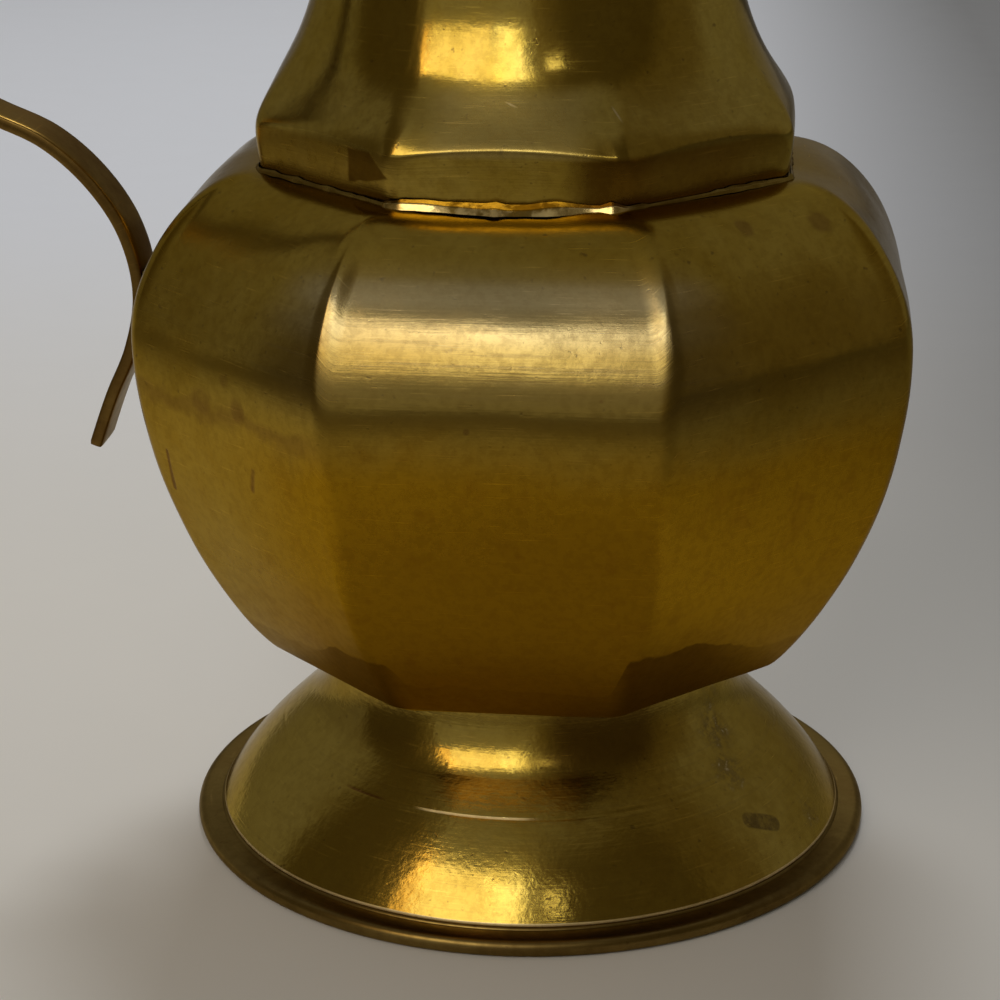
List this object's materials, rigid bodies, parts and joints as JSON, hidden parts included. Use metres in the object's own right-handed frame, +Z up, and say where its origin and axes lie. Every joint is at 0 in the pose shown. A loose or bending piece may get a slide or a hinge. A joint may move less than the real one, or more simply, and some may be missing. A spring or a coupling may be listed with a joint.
{
  "type": "metal pitcher",
  "caption": "Octagonal brass pitcher: spun bell foot on a flat ring, faceted belly, creased collar, waisted neck with a pinched spout, and a flat strap handle in an S curve.",
  "frame": {"origin": "middle of the bottom of the box round the whole pitcher, level with the foot's resting face; the pitcher's upright axis stands 25 mm from it along +X", "axes": "+Z up along the pitcher's axis, +X towards the spout, -X towards the handle"},
  "size_m": [0.175, 0.125, 0.2],
  "materials": {
    "brass_foot": "turned and polished, aged, with fine circular marks",
    "brass_dark": "dull brown patina",
    "brass_belly": "polished, aged, with brushing and small pits",
    "brass_neck": "polished, aged, with fine scratches",
    "brass_handle": "brown patina, worn bright on the edges",
    "solder": "uneven braze, partly filed"
  },
  "bodies": {
    "root": {"foot_rim": "brass_dark", "foot_bell": "brass_foot", "foot_solder": "solder", "base_pan": "brass_belly", "belly_shell": "brass_belly", "neck_shell": "brass_neck", "neck_solder": "solder", "mouth_bead": "brass_neck", "handle_strap": "brass_handle", "handle_belly_braze": "solder", "handle_neck_braze": "solder"}
  },
  "joints": []
}
